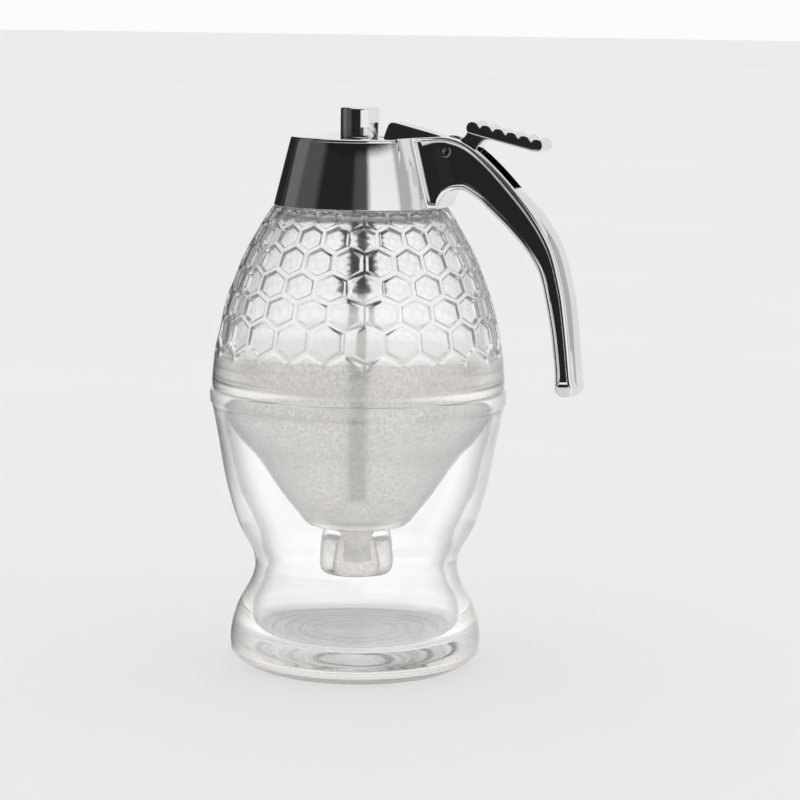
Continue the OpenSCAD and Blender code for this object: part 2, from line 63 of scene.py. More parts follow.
def enter():
    bpy.ops.object.mode_set(mode="EDIT")


def leave():
    bpy.ops.object.mode_set(mode="OBJECT")


def edit(piece, mode="VERT"):
    """Edit mode on this piece alone, with everything in it selected."""
    pick(piece)
    enter()
    bpy.ops.mesh.select_mode(type=mode)
    bpy.ops.mesh.select_all(action="SELECT")


def select_only(piece, mode, test):
    """Edit mode with only the vertices, edges or faces selected that pass the test."""
    edit(piece, mode)
    bpy.ops.mesh.select_all(action="DESELECT")
    leave()
    parts = {"VERT": piece.data.vertices, "EDGE": piece.data.edges, "FACE": piece.data.polygons}
    for part in parts[mode]:
        part.select = test(part)
    enter()


def tidy_mesh(piece, gap=0.002):
    """Merges doubles and turns the faces outwards."""
    edit(piece)
    bpy.ops.mesh.remove_doubles(threshold=gap * MM)
    bpy.ops.mesh.normals_make_consistent(inside=False)
    leave()


def apply_all(piece):
    pick(piece)
    for modifier in list(piece.modifiers):
        bpy.ops.object.modifier_apply(modifier=modifier.name)


def smooth_angle(piece, degrees):
    pick(piece)
    bpy.ops.object.shade_smooth_by_angle(angle=math.radians(degrees))


def join(pieces, name):
    pick(pieces[0])
    for piece in pieces:
        piece.select_set(True)
    bpy.ops.object.join()
    pieces[0].name = name
    pieces[0].data.name = name
    return pieces[0]


def span_point(p0, p1, p2, p3, t):
    return [
        (2 * b + (c - a) * t + (2 * a - 5 * b + 4 * c - d) * t * t + (3 * b - a - 3 * c + d) * t**3) / 2
        for a, b, c, d in zip(p0, p1, p2, p3)
    ]


def smooth(points, steps=6):
    """Smooth open curve through all the points."""
    last = len(points) - 1
    curve = []
    for i in range(last):
        p0, p3 = points[max(i - 1, 0)], points[min(i + 2, last)]
        curve += [span_point(p0, points[i], points[i + 1], p3, k / steps) for k in range(steps)]
    return curve + [list(points[last])]


def between(table, at, key=0, value=1):
    """Value of a rising table at a point, straight between its rows."""
    for a, b in zip(table, table[1:]):
        if at <= b[key]:
            t = max(0.0, (at - a[key]) / (b[key] - a[key]))
            return a[value] + t * (b[value] - a[value])
    return table[-1][value]


def turn_outline(name, outline, steps=96):
    """Turned piece: a line through the points [radius, height], spun once round the dispenser's axis."""
    deselect_all()
    bpy.ops.mesh.primitive_plane_add(size=0.5 * MM, location=(0, 0, 0))
    piece = bpy.context.object
    piece.name = name
    edit(piece)
    bpy.ops.mesh.merge(type="CENTER")
    bpy.ops.transform.translate(value=(outline[0][0] * MM, 0, outline[0][1] * MM))
    for a, b in zip(outline, outline[1:]):
        step = ((b[0] - a[0]) * MM, 0, (b[1] - a[1]) * MM)
        bpy.ops.mesh.extrude_region_move(TRANSFORM_OT_translate={"value": step})
    bpy.ops.mesh.select_all(action="SELECT")
    bpy.ops.mesh.spin(steps=steps, angle=2 * math.pi, center=(0, 0, 0), axis=(0, 0, 1))
    leave()
    tidy_mesh(piece)
    return piece


def flat_face(name, corners):
    """A piece that is one flat face so far, started as a disc and brought to its corners."""
    deselect_all()
    bpy.ops.mesh.primitive_circle_add(
        vertices=len(corners), radius=MM, fill_type="NGON", location=(0, 0, 0)
    )
    piece = bpy.context.object
    piece.name = name
    for vertex, corner in zip(piece.data.vertices, corners):
        vertex.co = Vector(corner) * MM
    return piece


def slab(name, outline, half_w):
    """A plate with the closed side outline [x, z], as thick to both sides of the middle plane."""
    piece = flat_face(name, [(x, -half_w, z) for x, z in outline])
    edit(piece, "FACE")
    bpy.ops.mesh.extrude_region_move(TRANSFORM_OT_translate={"value": (0, 2 * half_w * MM, 0)})
    leave()
    tidy_mesh(piece)
    return piece


def draw_out(name, sections):
    """A bar drawn out through its sections, which all have as many corners."""
    piece = flat_face(name, sections[0])
    edit(piece, "FACE")
    for before, after in zip(sections, sections[1:]):
        bpy.ops.mesh.extrude_region_move(TRANSFORM_OT_translate={"value": (0, 0, 0)})
        leave()
        starts = [Vector(corner) * MM for corner in before]
        for vertex in piece.data.vertices:
            if vertex.select:
                nearest = min(range(len(starts)), key=lambda i: (starts[i] - vertex.co).length_squared)
                vertex.co = Vector(after[nearest]) * MM
        enter()
    leave()
    tidy_mesh(piece)
    return piece


def cut_away(piece, cutter):
    """Takes the cutter's shape out of the piece, and the cutter away."""
    cut = piece.modifiers.new("Cut", "BOOLEAN")
    cut.operation = "DIFFERENCE"
    cut.solver = "EXACT"
    cut.object = cutter
    apply_all(piece)
    pick(cutter)
    bpy.ops.object.delete()


def round_edges(piece, width, segments=3, degrees=30):
    rounding = piece.modifiers.new("Rounding", "BEVEL")
    rounding.width = width * MM
    rounding.segments = segments
    rounding.limit_method = "ANGLE"
    rounding.angle_limit = math.radians(degrees)
    apply_all(piece)


def arc(middle, r, start, end, steps):
    """Points round a middle [x, z] from one angle to another."""
    angles = [math.radians(start + (end - start) * k / steps) for k in range(steps + 1)]
    return [[middle[0] + r * math.cos(a), middle[1] + r * math.sin(a)] for a in angles]


def fix(piece, node, body):
    """Puts a piece in the place of a node and fixes it to its body."""
    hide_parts(node)
    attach(piece, body)


def finish_piece(piece, name, material, node, body, degrees=40):
    """Names, smooths and dresses a piece that stands for a node, and fixes it to its body."""
    piece.name = name
    piece.data.name = name
    smooth_angle(piece, degrees)
    piece.data.materials.clear()
    piece.data.materials.append(material)
    fix(piece, node, body)


# ---------------------------------------------------------------- finishes


def new_group(name, inputs, outputs):
    """A group with number inputs, {name: value}, and number outputs."""
    group = bpy.data.node_groups.new(name, "ShaderNodeTree")
    for label, value in inputs.items():
        socket = group.interface.new_socket(name=label, in_out="INPUT", socket_type="NodeSocketFloat")
        socket.default_value = value
    for label in outputs:
        group.interface.new_socket(name=label, in_out="OUTPUT", socket_type="NodeSocketFloat")
    return group, group.nodes.new("NodeGroupInput").outputs, group.nodes.new("NodeGroupOutput")


def fill(tree, node, values):
    """Gives a node's inputs their plain values, or links them to other nodes' outputs."""
    for key, value in values.items():
        if isinstance(value, bpy.types.NodeSocket):
            tree.links.new(value, node.inputs[key])
        else:
            node.inputs[key].default_value = value


def add_node(tree, kind, values=None, **settings):
    node = tree.nodes.new("ShaderNode" + kind)
    for setting, choice in settings.items():
        setattr(node, setting, choice)
    fill(tree, node, values or {})
    return node


def calc(tree, operation, *terms):
    """Result of one step of arithmetic on numbers and outputs."""
    return add_node(tree, "Math", dict(enumerate(terms)), operation=operation).outputs[0]


def noise(tree, scale, detail, roughness=0.5):
    place = add_node(tree, "TexCoord").outputs["Object"]
    values = {"Vector": place, "Scale": scale, "Detail": detail, "Roughness": roughness}
    return add_node(tree, "TexNoise", values).outputs["Fac"]


def spread(tree, value, low, high, to_low=0.0, to_high=1.0, soft=False):
    """Takes low and high of a value to to_low and to_high, and holds it past them."""
    values = {"Value": value, "From Min": low, "From Max": high, "To Min": to_low, "To Max": to_high}
    kind = "SMOOTHSTEP" if soft else "LINEAR"
    return add_node(tree, "MapRange", values, interpolation_type=kind).outputs["Result"]


def solid(colour):
    """A plain colour with its fourth value. Another node's output stays as it is."""
    return colour if isinstance(colour, bpy.types.NodeSocket) else (*colour, 1)


def grey(level):
    return (level, level, level)


def blend(tree, factor, first, second, **settings):
    """Colour between two colours."""
    values = {"Factor": factor, "A": solid(first), "B": solid(second)}
    return add_node(tree, "Mix", values, data_type="RGBA", **settings).outputs["Result"]


def bump(tree, height, distance):
    return add_node(tree, "Bump", {"Height": height, "Distance": distance}).outputs["Normal"]


def object_z(tree):
    place = add_node(tree, "TexCoord").outputs["Object"]
    return add_node(tree, "SeparateXYZ", {0: place}).outputs["Z"]


def make_handling_group():
    """Soft smears and faint specks of a polished surface that has been held."""
    group, given, out = new_group("Handling marks", {"Scale": 120.0}, ("Smear", "Speck"))
    scale = given["Scale"]
    smear = spread(group, noise(group, scale, 4.0, 0.55), 0.35, 0.75)
    speck = noise(group, calc(group, "MULTIPLY", scale, 14.0), 2.0)
    fill(group, out, {"Smear": smear, "Speck": speck})
    return group


def make_pressed_group():
    """Slow waves and small ripples that the mould leaves in pressed glass."""
    group, given, out = new_group("Pressed waves", {"Scale": 60.0, "Ripple": 0.3}, ("Height",))
    scale = given["Scale"]
    slow = noise(group, scale, 1.0)
    fast = noise(group, calc(group, "MULTIPLY", scale, 6.0), 2.0)
    fill(group, out, {"Height": calc(group, "MULTIPLY_ADD", fast, given["Ripple"], slow)})
    return group


handling = make_handling_group()
pressed = make_pressed_group()


def start_finish(name):
    material = bpy.data.materials.new(name)
    material.use_nodes = True
    tree = material.node_tree
    return material, tree, tree.nodes["Principled BSDF"]


def place_group(tree, group, **values):
    node = tree.nodes.new("ShaderNodeGroup")
    node.node_tree = group
    fill(tree, node, values)
    return node.outputs


def marked_finish(name, dark, pale, rough, scale, depth, metallic):
    """Slight smears in the colour and gloss, and fine specks in the surface."""
    material, tree, shader = start_finish(name)
    marks = place_group(tree, handling, Scale=scale)
    fill(tree, shader, {
        "Metallic": metallic,
        "Base Color": blend(tree, marks["Smear"], pale, dark),
        "Roughness": spread(tree, marks["Smear"], 0.0, 1.0, *rough),
        "Normal": bump(tree, marks["Speck"], depth),
    })
    return material


def metal_finish(name, dark, pale, rough, scale=120.0):
    return marked_finish(name, dark, pale, rough, scale, 0.000004, 1.0)


def moulded_finish(name, dark, pale, rough):
    """Moulded plastic or rubber."""
    return marked_finish(name, dark, pale, rough, 200.0, 0.00002, 0.0)


def source_of(shader, label):
    """Output that feeds an input so far."""
    return shader.inputs[label].links[0].from_socket


def paint_shade_above(material, height, dark):
    """Painted shade: turns the colour of a metal dark above a height, standing in for the dark that the
    upper end of the rod mirrors inside the coil and cap.
    """
    tree = material.node_tree
    shader = tree.nodes["Principled BSDF"]
    zone = spread(tree, object_z(tree), height, height + 0.006)
    fill(tree, shader, {"Base Color": blend(tree, zone, source_of(shader, "Base Color"), dark)})


def roughen_below(material, height, roughness):
    """Adds roughness to a glass below a height, as on the ground underside of a foot."""
    tree = material.node_tree
    shader = tree.nodes["Principled BSDF"]
    ground = spread(tree, object_z(tree), height + 0.0008, height, 0.0, roughness)
    fill(tree, shader, {"Roughness": calc(tree, "ADD", source_of(shader, "Roughness"), ground)})


SHADOW_SHARE = 0.1     # how much of the light each face of a glass wall keeps off what is behind it
LONG_WAY = 9.5         # number of steps past which a ray counts as lost in the glass
MANY_MIRRORS = 2.5     # number of inner reflections past which it does
BLACK = grey(0)


def glass_finish(name, clear, low, low_z, edge, gloss, waves, strays, grain):
    """Clear pressed glass: its colour, the colour below low_z where the wall is thicker or duller, the
    painted shade where its outside is seen along the surface, roughness over and under low_z, waves from the
    mould as (scale, depth, ripple), the light of lost rays over and under low_z, and a sandy grain."""
    scale, depth, ripple = waves
    material, tree, shader = start_finish(name)
    zone = spread(tree, object_z(tree), low_z + 0.003, low_z - 0.001, soft=True)
    speck = place_group(tree, handling, Scale=110.0)["Speck"]
    dull = blend(tree, 1.0, low, spread(tree, speck, 0.35, 0.65, 1.0 - grain), blend_type="MULTIPLY")
    # Painted shade: where the outside is seen along the surface the colour turns to the edge colour,
    # standing in for the dark lines that bent light brings to the glass's edges
    facing = add_node(tree, "LayerWeight", {"Blend": 0.5}).outputs["Facing"]
    outside = calc(tree, "SUBTRACT", 1.0, add_node(tree, "NewGeometry").outputs["Backfacing"])
    painted_edge_shade = calc(tree, "MULTIPLY", spread(tree, facing, 0.36, 0.86, soft=True), outside)
    colour = blend(tree, painted_edge_shade, blend(tree, zone, clear, dull), edge)
    path = add_node(tree, "LightPath").outputs
    # Light that has gone to and fro in the wall too often to be followed comes out as a pale grey
    long_way = calc(tree, "GREATER_THAN", path["Ray Depth"], LONG_WAY)
    mirrored = calc(tree, "GREATER_THAN", path["Glossy Depth"], MANY_MIRRORS)
    lost = calc(tree, "MAXIMUM", long_way, mirrored)
    blocked = calc(tree, "MAXIMUM", path["Is Shadow Ray"], path["Is Diffuse Ray"])
    relief = place_group(tree, pressed, Scale=scale, Ripple=ripple)["Height"]
    fill(tree, shader, {
        "Transmission Weight": 1.0,
        "IOR": 1.5,
        "Base Color": blend(tree, lost, colour, BLACK),
        "Roughness": spread(tree, zone, 0.0, 1.0, *gloss),
        "Alpha": spread(tree, blocked, 0.0, 1.0, 1.0, SHADOW_SHARE),
        "Emission Color": blend(tree, lost, BLACK, blend(tree, zone, *strays)),
        "Emission Strength": 1.0,
        "Normal": bump(tree, relief, depth),
    })
    return material


CHROME = (0.78, 0.78, 0.79), (0.84, 0.84, 0.85)
JAR_CLEAR = (0.995, 0.995, 0.99)
JAR_STRAY = (0.38, 0.375, 0.365)
JAR_LOW_Z = 0.0818

jar_glass = glass_finish(
    "Jar glass", clear=JAR_CLEAR, low=(0.94, 0.915, 0.89), low_z=JAR_LOW_Z, edge=grey(0.08),
    gloss=(0.0, 0.03), waves=(70.0, 0.00012, 0.12), strays=(grey(0.08), JAR_STRAY), grain=0.16,
)
jar_inside = glass_finish(
    "Jar glass inside", clear=JAR_CLEAR, low=(0.97, 0.965, 0.955), low_z=JAR_LOW_Z, edge=grey(0.9),
    gloss=(0.2, 0.24), waves=(90.0, 0.0001, 0.3), strays=(grey(0.1), JAR_STRAY), grain=0.3,
)
stand_glass = glass_finish(
    "Stand glass", clear=grey(0.99), low=(0.8, 0.775, 0.75), low_z=0.0066, edge=grey(0.25),
    gloss=(0.0, 0.04), waves=(45.0, 0.00025, 0.06), strays=((0.36, 0.355, 0.345), (0.46, 0.445, 0.43)),
    grain=0.12,
)
roughen_below(stand_glass, 0.0012, 0.3)
cap_chrome = metal_finish("Cap chrome", *CHROME, (0.03, 0.09))
handle_chrome = metal_finish("Handle chrome", *CHROME, (0.03, 0.08), 90.0)
lever_chrome = metal_finish("Lever chrome", (0.76, 0.76, 0.77), (0.82, 0.82, 0.83), (0.05, 0.12), 150.0)
knob_chrome = metal_finish("Knob chrome", *CHROME, (0.04, 0.1), 160.0)
pin_steel = metal_finish("Pin and screw steel", grey(0.12), grey(0.2), (0.2, 0.35), 300.0)
# Painted shade: a dark colour for the crease between the saddle and the cap
joint_painted_shade = metal_finish("Joint painted shade", grey(0.05), grey(0.09), (0.3, 0.5), 300.0)
rod_steel_and_shade = metal_finish("Rod steel and painted shade", (0.62, 0.62, 0.61), (0.72, 0.72, 0.71), (0.06, 0.14), 200.0)
# Painted shade: the rod is coloured dark above 94 mm, where it stands inside the coil and cap
paint_shade_above(rod_steel_and_shade, 0.094, grey(0.06))
# Painted reflection: the wire is coloured near black, standing in for the dark inside of the cap that the
# polished wire mirrors
spring_painted_reflection = metal_finish("Spring wire painted reflection", grey(0.05), grey(0.1), (0.15, 0.3), 400.0)
liner_plastic = moulded_finish("Liner plastic", (0.8, 0.79, 0.76), (0.86, 0.86, 0.84), (0.35, 0.5))
bush_plastic = moulded_finish("Bush plastic", grey(0.03), (0.06, 0.06, 0.058), (0.3, 0.45))
gasket_rubber = moulded_finish("Gasket rubber", (0.78, 0.77, 0.74), (0.85, 0.84, 0.82), (0.5, 0.7))
seal_rubber = moulded_finish("Seal rubber", grey(0.04), grey(0.07), (0.4, 0.6))
stopper_rubber = moulded_finish("Milky stopper", (0.9, 0.89, 0.86), (0.96, 0.955, 0.94), (0.3, 0.45))


# ---------------------------------------------------------------- stand

STAND_H = 72.3          # height of the rim that the jar rests on
RIM_R = 38.45
MOUTH_R = 34.6
FLOOR_Z = 7.6
GROOVE_RS = (10.5, 14.5, 18.5, 22.5)
GROOVE_HALF, GROOVE_DEEP = 0.98, 0.3
BEADS = 125
BEAD_SIZE = 1.007       # how far a bead stands out, as a share of its radius on the foot

stand_outer = smooth(
    [[27, 0], [31.6, 2.7], [32.7, 7.5], [31.0, 15], [26.9, 23.2], [26.9, 29.4], [31.0, 37.5],
     [34.2, 48.5], [36.3, 60], [37.7, 67.2], [RIM_R, 69.2]]
)
rim_edge = [[RIM_R, STAND_H - 0.7], [RIM_R - 0.2, STAND_H - 0.2], [RIM_R - 0.7, STAND_H],
            [MOUTH_R + 0.6, STAND_H], [MOUTH_R, STAND_H - 0.6]]
stand_inner = smooth(
    [[MOUTH_R, 66], [33.6, 59], [31.4, 48.5], [28.2, 39.5], [23.6, 29.6], [23.6, 23.6], [27.2, 15.6],
     [27.6, 10.6], [25.4, FLOOR_Z + 0.4], [21, FLOOR_Z]]
)
BEAD_Z = min((z for r, z in stand_outer), key=lambda z: abs(z - 4.4))


def underside():
    """Flat underside with four round grooves, from the middle out to the foot's edge."""
    line = [[0, 0]]
    for r in GROOVE_RS:
        turns = [math.pi * k / 8 for k in range(9)]
        line += [[r - GROOVE_HALF * math.cos(a), GROOVE_DEEP * math.sin(a)] for a in turns]
    return line


def on_bead(vertex):
    """Whether a point of the foot is in every second column of the beads' row."""
    x, y, z = vertex.co / MM
    column = round(math.atan2(y, x) / (math.pi / BEADS))
    return abs(z - BEAD_Z) < 0.05 and math.hypot(x, y) > 30 and column % 2 == 1


stand = turn_outline(
    "stand_cup", underside() + stand_outer + rim_edge + stand_inner + [[0, FLOOR_Z]], 2 * BEADS
)
select_only(stand, "VERT", on_bead)
bpy.ops.transform.resize(value=(BEAD_SIZE, BEAD_SIZE, 1.0), center_override=(0, 0, 0))
leave()
finish_piece(stand, "stand_cup", stand_glass, "stand", "stand")

# ---------------------------------------------------------------- jar

BODY_R, BODY_OFF, BODY_Z = 84.5, 46.5, 70.6     # arc of the outside: radius, its middle's place
WALL = 2.8
SHOULDER_Z = 119.6
NECK_R, NECK_BORE, NECK_TOP = 15, 12, 129.0
SPIGOT_R = MOUTH_R - 0.4
CELLS = 24
CELL_TURN = 5.9
RIB_HALF = 0.42         # half width of the flat top of a rib
WALL_RUN = 0.52         # width of the sloping wall of a cell
CELL_DEPTH = 0.75
EDGE_DEPTH = 0.45       # depth of the cut cells over and under the honeycomb
ROW_Z = [88.1, 95.3, 101.1, 107.3, 113.2, 117.7]
ROWS = len(ROW_Z)
BAND_Z = 81.0           # height of the line under the lowest cells
BEND_Z = SHOULDER_Z - 0.405     # height where the wall bends over on to the shoulder
SHOULDER_IN = 18.5      # radius on the flat shoulder where the cells end
WALL_STEPS, BEND_STEPS, TOP_STEPS = 400, 24, 40
FLATNESS = 0.8          # 1 for flat cell floors, 0 for floors that follow the wall


def body_r(z, d=0.0):
    """Radius of the jar's outside at a height, or of the surface that lies d inside it."""
    return math.sqrt((BODY_R - d) ** 2 - (z - BODY_Z) ** 2) - BODY_OFF


ROW_R = body_r(ROW_Z[0])
PITCH = 2 * math.pi * ROW_R / CELLS


def wall_path():
    """The jar's outside from the line under the cells, up over the shoulder's edge and inwards:
    [radius, height, normal's radius part, normal's height part]."""
    line = []
    for i in range(WALL_STEPS + 1):
        z = BAND_Z + (BEND_Z - BAND_Z) * i / WALL_STEPS
        slope = math.asin((z - BODY_Z) / BODY_R)
        line.append([body_r(z), z, math.cos(slope), math.sin(slope)])
    r0, z0 = line[-1][:2]
    bend_r = (SHOULDER_Z - z0) / (1 - math.sin(slope))
    for i in range(1, BEND_STEPS + 1):
        a = slope + (math.pi / 2 - slope) * i / BEND_STEPS
        r = r0 + bend_r * (math.cos(a) - math.cos(slope))
        z = z0 + bend_r * (math.sin(a) - math.sin(slope))
        line.append([r, z, math.cos(a), math.sin(a)])
    r_edge = line[-1][0]
    for i in range(1, TOP_STEPS + 1):
        line.append([r_edge + (SHOULDER_IN - r_edge) * i / TOP_STEPS, SHOULDER_Z, 0.0, 1.0])
    return line


def even_heights(line):
    """Height of each point on the flat sheet, where a cell is as wide as those of the lowest row."""
    heights = [0.0]
    for a, b in zip(line, line[1:]):
        scale = (a[0] + b[0]) / 2 / ROW_R
        heights.append(heights[-1] + math.dist(a[:2], b[:2]) / scale)
    return heights


path = wall_path()
flat_y = even_heights(path)
row_y = [between([[point[1], y] for point, y in zip(path, flat_y)], z) for z in ROW_Z]
gaps = [b - a for a, b in zip(row_y, row_y[1:])]
row_up = gaps + [gaps[-1]]
row_down = [gaps[0]] + gaps


def on_wall(x, y, h):
    """Where a point of the flat sheet, h above it, lies on the jar."""
    i = min(bisect_right(flat_y, y) - 1, len(flat_y) - 2)
    t = (y - flat_y[i]) / (flat_y[i + 1] - flat_y[i])
    r, z, nr, nz = [a + t * (b - a) for a, b in zip(path[i], path[i + 1])]
    angle = 2 * math.pi * x / (PITCH * CELLS)
    r += h * nr
    return r * math.cos(angle), r * math.sin(angle), z + h * nz


def row_of(y):
    """Row whose cells hold the flat height y: -1 under the lowest, and past the last over the highest."""
    if y < row_y[0] - row_down[0] / 2:
        return -1
    for row in range(ROWS):
        if y < row_y[row] + row_up[row] / 2:
            return row
    return ROWS


def cell_corners(row, column):
    """Corners of a cell of the sheet, shared with its neighbours, from the top one round to the left."""
    x = (column + (row % 2) / 2) * PITCH
    y, up, down, half = row_y[row], row_up[row] / 3, row_down[row] / 3, PITCH / 2
    return [
        (x, y + 2 * up), (x - half, y + up), (x - half, y - down),
        (x, y - 2 * down), (x + half, y - down), (x + half, y + up),
    ]


def cut_cell_corners(column, top):
    """Corners of a cell that the line over or under the honeycomb cuts off."""
    row = ROWS - 1 if top else 0
    third = row_up[row] / 3 if top else -row_down[row] / 3
    inner, outer, end = row_y[row] + third, row_y[row] + 2 * third, flat_y[-1 if top else 0]
    x, half = (column + (row % 2) / 2) * PITCH, PITCH / 2
    ring = [(x + half, inner), (x, outer), (x, end), (x + half, end), (x + PITCH, end), (x + PITCH, outer)]
    return ring[::-1] if top else ring


def add_face(corners):
    """One flat face of the sheet, started as a disc and brought to its corners."""
    bpy.ops.mesh.select_all(action="DESELECT")
    bpy.ops.mesh.primitive_circle_add(vertices=len(corners), radius=MM, fill_type="NGON")
    leave()
    mesh = bpy.context.object.data
    for vertex, (x, y) in zip(mesh.vertices[-len(corners):], corners):
        vertex.co = (x * MM, y * MM, 0)
    enter()


def flat_honeycomb():
    """Five columns of flat cells with their cut ones, of which the middle column is kept later."""
    piece = flat_face("honeycomb", [(x, y, 0) for x, y in cell_corners(0, 0)])
    enter()
    for column in (0, -1, 1, -2, 2):
        for row in range(ROWS):
            if (row, column) != (0, 0):
                add_face(cell_corners(row, column))
        add_face(cut_cell_corners(column, True))
        add_face(cut_cell_corners(column, False))
    leave()
    tidy_mesh(piece, 0.01)
    if piece.data.polygons[0].normal.z < 0:
        edit(piece)
        bpy.ops.mesh.flip_normals()
        leave()
    return piece


def in_middle_column(face):
    x = face.center.x / MM
    if row_of(face.center.y / MM) % 2 == 1:
        return -0.3 * PITCH < x < 0.8 * PITCH
    return -0.5 * PITCH < x < 0.5 * PITCH


def at_long_end(edge):
    """Whether an edge of the sheet is one of the long ones along its top or bottom."""
    first, last = [sheet.data.vertices[i].co / MM for i in edge.vertices]
    at_end = any(abs(first.y - y) < 0.01 and abs(last.y - y) < 0.01 for y in (flat_y[0], flat_y[-1]))
    return at_end and abs(first.x - last.x) > 0.4 * PITCH


def from_cell(x, y):
    """Offset of a flat point from the middle of its cell."""
    row = row_of(y)
    if not 0 <= row < ROWS:
        return 0.0, 0.0
    shift = (row % 2) / 2
    column = round(x / PITCH - shift)
    return x - (column + shift) * PITCH, y - row_y[row]


sheet = flat_honeycomb()
sheet.data.materials.append(jar_glass)
sheet.data.materials.append(jar_inside)
# The second material marks the faces that are kept. The jar gets its real ones below
for face in sheet.data.polygons:
    face.material_index = 1 if in_middle_column(face) else 0
for row in range(-1, ROWS + 1):
    scale = body_r(ROW_Z[min(max(row, 0), ROWS - 1)]) / ROW_R
    depth = CELL_DEPTH if 0 <= row < ROWS else EDGE_DEPTH
    select_only(sheet, "FACE", lambda f: row_of(f.center.y / MM) == row and len(f.vertices) > 4)
    bpy.ops.mesh.inset(thickness=RIB_HALF * MM / scale, depth=0, use_individual=True)
    bpy.ops.mesh.inset(thickness=WALL_RUN * MM / scale, depth=-depth * MM, use_individual=True)
    leave()
round_edges(sheet, 0.32, 4, 25)
# Cuts across the sheet where the wall bends over on to the flat shoulder
for i in range(WALL_STEPS, WALL_STEPS + BEND_STEPS + 1, 4):
    edit(sheet)
    bpy.ops.mesh.bisect(plane_co=(0, flat_y[i] * MM, 0), plane_no=(0, 1, 0))
    leave()
select_only(sheet, "FACE", lambda f: f.material_index == 0)
bpy.ops.mesh.delete(type="FACE")
leave()
# The sheet's two ends get as many points as the turned rest of the jar has columns
select_only(sheet, "EDGE", at_long_end)
bpy.ops.mesh.subdivide(number_cuts=3)
leave()
for vertex in sheet.data.vertices:
    x, y, h = [c / MM for c in vertex.co]
    dx, dy = from_cell(x, y)
    deep = min(1.0, max(0.0, -h / CELL_DEPTH))
    h += FLATNESS * deep * (dx * dx / (2 * ROW_R) + dy * dy / (2 * BODY_R))
    vertex.co = Vector(on_wall(x, min(max(y, flat_y[0]), flat_y[-1]), h)) * MM
edit(sheet)
bpy.ops.mesh.spin(steps=CELLS, dupli=True, angle=2 * math.pi, center=(0, 0, 0), axis=(0, 0, 1))
leave()
tidy_mesh(sheet, 0.01)

SEAT_R, SEAT_Z = 9.4, 38.0      # upper edge of the cone that the stopper closes
BORE_R, BORE_Z = 6, 34.6        # bore of the spout, and where that cone runs into it
SPOUT_END = 24.7
FUNNEL_TOP = 78
ROOF_Z = 116.5                  # height where the wall's inside turns to the neck

funnel_inner = smooth(
    [[body_r(FUNNEL_TOP, WALL), FUNNEL_TOP], [34.1, 75.2], [32.1, 71.6], [31.2, 67], [28.3, 61.9],
     [24.3, 57], [19.9, 50], [16.4, 44.6], [12.6, 39.6], [SEAT_R, SEAT_Z]], 4
)
spout_outer = smooth([[8, SPOUT_END], [9, 25.4], [9.4, 28], [9.3, 31.5], [8.7, 35.2], [9.4, 36.3]], 4)
funnel_outer = smooth(
    [[13.6, 36.6], [14.7, 37.6], [18.8, 43.4], [22.4, 48.9], [26.8, 55.6], [30.8, 60.6],
     [33.6, 65.6], [SPIGOT_R, 69.6]], 4
)
roof = smooth([[NECK_BORE, 121.8], [13.6, 119.4], [17.2, 118.2], [body_r(ROOF_Z, WALL), ROOF_Z]], 4)
inside_wall = [[body_r(z, WALL), z] for z in [ROOF_Z + (FUNNEL_TOP - ROOF_Z) * i / 20 for i in range(1, 20)]]
low_band = [[body_r(z), z] for z in [BAND_Z + (74 - BAND_Z) * i / 6 for i in range(7)]]
funnel_middle = [[10.4, 36.6], [14, 39.6], [17.6, 44.4], [21.1, 49.5], [25.5, 56.2], [29.5, 61.3],
                 [32.3, 66.3], [33.1, 69.8], [33.4, 72.5]]
rest_of_jar = turn_outline(
    "jar_rest",
    low_band
    + [[body_r(STAND_H) - 0.05, STAND_H + 0.6], [37.4, STAND_H], [SPIGOT_R, STAND_H]]
    + funnel_outer[::-1] + spout_outer[::-1]
    + [[BORE_R + 0.6, SPOUT_END], [BORE_R, 25.4], [BORE_R, BORE_Z]]
    + funnel_inner[::-1] + inside_wall[::-1] + roof[::-1]
    + [[NECK_BORE, NECK_TOP - 0.5], [NECK_BORE + 0.5, NECK_TOP], [NECK_R - 0.5, NECK_TOP],
       [NECK_R, NECK_TOP - 0.5], [NECK_R, SHOULDER_Z + 0.4], [NECK_R + 0.4, SHOULDER_Z],
       [SHOULDER_IN, SHOULDER_Z]],
    8 * CELLS,
)

THREAD_TURNS, THREAD_PITCH, THREAD_LOW, THREAD_CREST = 1.25, 4.0, 121.9, 1.2
THREAD_STEPS = 60


def neck_thread():
    """Ridge that climbs round the neck, tapered at both ends."""
    rings = []
    for i in range(THREAD_STEPS + 1):
        share = i / THREAD_STEPS
        around = 2 * math.pi * THREAD_TURNS * share - math.radians(CELL_TURN)
        crest = THREAD_CREST * min(1.0, 0.25 + 6 * THREAD_TURNS * min(share, 1 - share))
        z = THREAD_LOW + THREAD_PITCH * THREAD_TURNS * share
        side = [[NECK_R - 0.1, 0.98], [NECK_R, 0.95], [NECK_R + 0.75 * crest, 0.61],
                [NECK_R + 0.93 * crest, 0.46], [NECK_R + crest, 0.26]]
        ring = side + [[r, -h] for r, h in side[::-1]]
        rings.append([(r * math.cos(around), r * math.sin(around), z + h) for r, h in ring])
    return draw_out("neck_thread", rings)


def is_inside(face):
    """Whether a face of the jar lies on the inside of its wall or funnel."""
    x, y, z = face.center / MM
    r = math.hypot(x, y)
    middle = body_r(z) - 0.7 * WALL if z > STAND_H + 0.1 else between(funnel_middle, z, 1, 0)
    return r < middle and SEAT_Z + 0.2 < z < 118


jar = join([sheet, rest_of_jar, neck_thread()], "jar_body")
jar.data.materials.clear()
jar.data.materials.append(jar_glass)
jar.data.materials.append(jar_inside)
for face in jar.data.polygons:
    face.material_index = 1 if is_inside(face) else 0
tidy_mesh(jar, 0.03)
edit(jar)
bpy.ops.transform.rotate(
    value=-math.radians(CELL_TURN), orient_axis="Z", center_override=(0, 0, 0)
)
leave()
smooth_angle(jar, 50)
fix(jar, "jar", "jar")

# ---------------------------------------------------------------- cap

